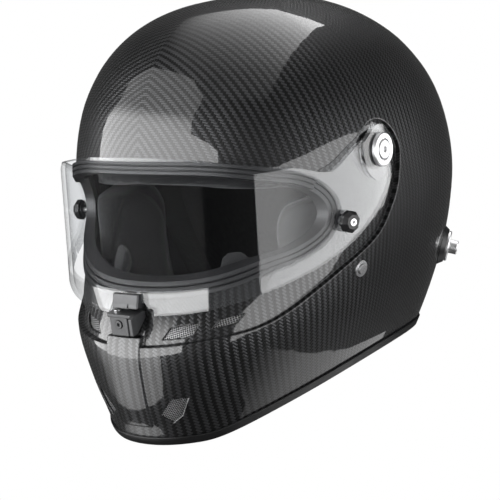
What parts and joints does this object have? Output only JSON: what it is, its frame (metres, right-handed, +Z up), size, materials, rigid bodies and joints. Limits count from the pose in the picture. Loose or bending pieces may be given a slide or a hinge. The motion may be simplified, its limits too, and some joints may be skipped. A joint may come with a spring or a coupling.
{
  "type": "full-face racing helmet",
  "caption": "Full-face closed helmet for car racing: carbon shell, wrap-round hinged clear visor with centre latch, padded interior, side studs for a head restraint, rubber edge trim.",
  "frame": {"origin": "on the resting plane, below the middle of the helmet's outline seen from above", "axes": "+Z up, the wearer looks along -Y, +X is the wearer's left"},
  "size_m": [0.251, 0.3469, 0.2764],
  "materials": {
    "carbon_shell": "clear-coated carbon twill, polished",
    "rubber": "satin black rubber",
    "vent_mesh": "black woven wire screen",
    "black_plastic": "fine-grained black plastic",
    "satin_alloy": "turned and satin-blasted alloy",
    "zinc_steel": "plated steel",
    "grey_metal": "anthracite coating, half gloss",
    "foam": "dark expanded foam",
    "liner_cloth": "charcoal brushed knit, flame-resistant type",
    "webbing": "black flat webbing",
    "clear_visor": "clear polycarbonate, glossy"
  },
  "bodies": {
    "shell": {"outer_shell": "carbon_shell", "base_trim": "rubber", "eyeport_gasket": "rubber", "upper_vent_mesh": "vent_mesh", "lower_vent_mesh": "vent_mesh", "pivot_base_left": "black_plastic", "pivot_base_right": "black_plastic", "pivot_disc_left": "satin_alloy", "pivot_disc_right": "satin_alloy", "pivot_screws": "satin_alloy", "pivot_nuts": "zinc_steel", "latch_bracket": "grey_metal", "latch_pin": "zinc_steel", "latch_screw": "grey_metal", "anchor_boss_left": "black_plastic", "anchor_boss_right": "black_plastic", "anchor_disc_left": "satin_alloy", "anchor_disc_right": "satin_alloy", "anchor_stud_left": "satin_alloy", "anchor_stud_right": "satin_alloy", "anchor_nuts": "zinc_steel", "strap_rivets": "zinc_steel", "crown_foam": "foam", "chin_foam": "foam", "crown_liner": "liner_cloth", "brow_pad": "liner_cloth", "cheek_pad_left": "liner_cloth", "cheek_pad_right": "liner_cloth", "chin_pad_left": "liner_cloth", "chin_pad_right": "liner_cloth", "neck_roll": "liner_cloth", "chin_strap_left": "webbing", "chin_strap_right": "webbing"},
    "visor": {"visor": "clear_visor", "visor_catch": "grey_metal", "catch_rivets": "zinc_steel", "tearoff_post_left": "black_plastic", "tearoff_post_right": "black_plastic", "tearoff_screws": "satin_alloy", "tearoff_nuts": "zinc_steel"},
    "latch": {"latch_lever": "grey_metal"},
    "rings": {"d_rings": "zinc_steel"}
  },
  "joints": [
    {"name": "visor_open", "type": "hinge", "parent": "shell", "child": "visor", "pos_m": [0, -0.0225, 0.1725], "axis": [-1, 0, 0], "range_deg": [0, 55]},
    {"name": "latch_swing", "type": "hinge", "parent": "shell", "child": "latch", "pos_m": [-0.0062, -0.1632, 0.092], "axis": [0, 0, -1], "range_deg": [0, 25], "stiffness_Nm_per_rad": 0.02, "springref_deg": -11.46},
    {"name": "rings_swing", "type": "hinge", "parent": "shell", "child": "rings", "pos_m": [-0.032, -0.033, 0.0267], "axis": [0.184, -0.9829, 0], "range_deg": [-20, 20]}
  ]
}
